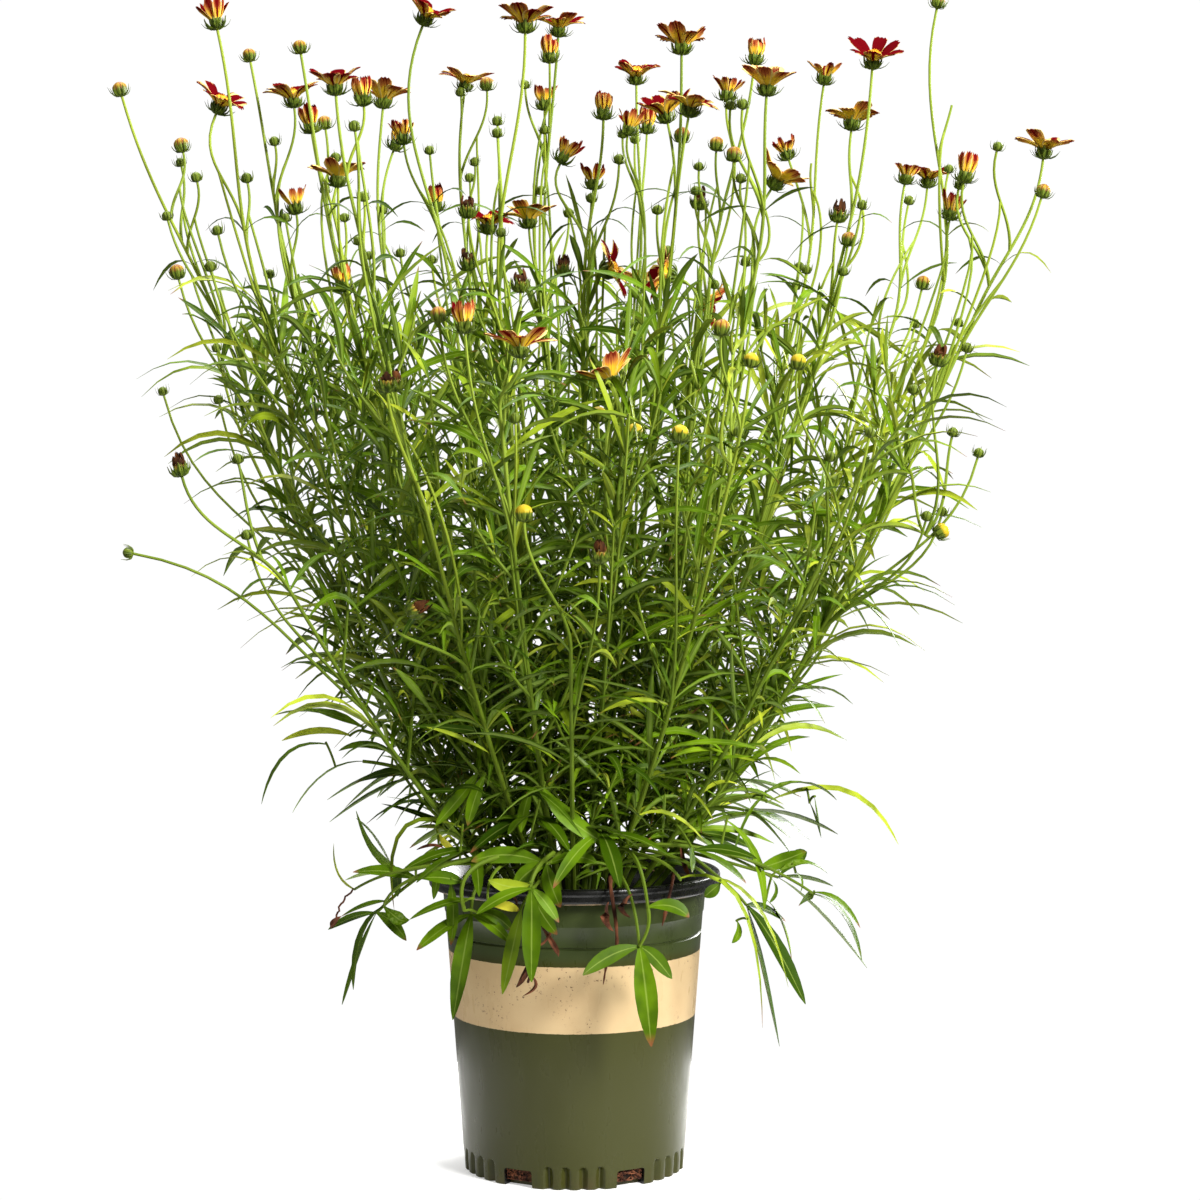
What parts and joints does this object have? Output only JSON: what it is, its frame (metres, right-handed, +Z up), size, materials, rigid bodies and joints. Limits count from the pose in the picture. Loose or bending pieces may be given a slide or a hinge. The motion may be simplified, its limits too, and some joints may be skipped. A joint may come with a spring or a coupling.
{
  "type": "potted coreopsis",
  "caption": "Flowering perennial in a filled nursery pot: a fountain of forking leafy stems with buds and bicoloured daisy flowers over a tapered plastic pot with a fluted foot.",
  "frame": {"origin": "centre of the pot's flat underside, on the surface it stands on", "axes": "+Z up along the pot's axis, -Y towards the plant's front, +X to the right of someone who looks at the front"},
  "size_m": [0.5618, 0.3918, 0.6896],
  "materials": {
    "pot": "olive green moulded plastic, slightly worn",
    "soil": "damp potting mix of bark and peat",
    "leaf": "fresh green stems, leaves, cups and buds",
    "bloom": "maroon rays with yellow edges round a golden disc",
    "withered": "dry brown stem"
  },
  "bodies": {
    "root": {"pot": "pot", "soil": "soil", "withered_stem_1": "withered", "withered_stem_2": "withered", "leafy_stem_01": "leaf", "leafy_stem_02": "leaf", "leafy_stem_03": "leaf", "leafy_stem_04": "leaf", "leafy_stem_05": "leaf", "leafy_stem_06": "leaf", "leafy_stem_07": "leaf", "leafy_stem_08": "leaf", "leafy_stem_09": "leaf", "leafy_stem_10": "leaf", "leafy_stem_11": "leaf", "leafy_stem_12": "leaf", "leafy_stem_13": "leaf", "leafy_stem_14": "leaf", "leafy_stem_15": "leaf", "leafy_stem_16": "leaf", "leafy_stem_17": "leaf", "leafy_stem_18": "leaf", "leafy_stem_19": "leaf", "leafy_stem_20": "leaf", "leafy_stem_21": "leaf", "leafy_stem_22": "leaf", "leafy_stem_23": "leaf", "leafy_stem_24": "leaf", "leafy_stem_25": "leaf", "leafy_stem_26": "leaf", "leafy_stem_27": "leaf", "leafy_stem_28": "leaf", "leafy_stem_29": "leaf", "bloom_01": "bloom", "bloom_02": "bloom", "bloom_03": "bloom", "bloom_04": "bloom", "bloom_05": "bloom", "bloom_06": "bloom", "bloom_07": "bloom", "bloom_08": "bloom", "bloom_09": "bloom", "bloom_10": "bloom", "bloom_11": "bloom", "bloom_12": "bloom", "bloom_13": "bloom", "bloom_14": "bloom", "bloom_15": "bloom", "bloom_16": "bloom", "bloom_17": "bloom", "bloom_18": "bloom", "bloom_19": "bloom", "bloom_20": "bloom", "bloom_21": "bloom", "bloom_22": "bloom", "bloom_23": "bloom", "bloom_24": "bloom", "bloom_25": "bloom", "bloom_26": "bloom", "bloom_27": "bloom"}
  },
  "joints": []
}
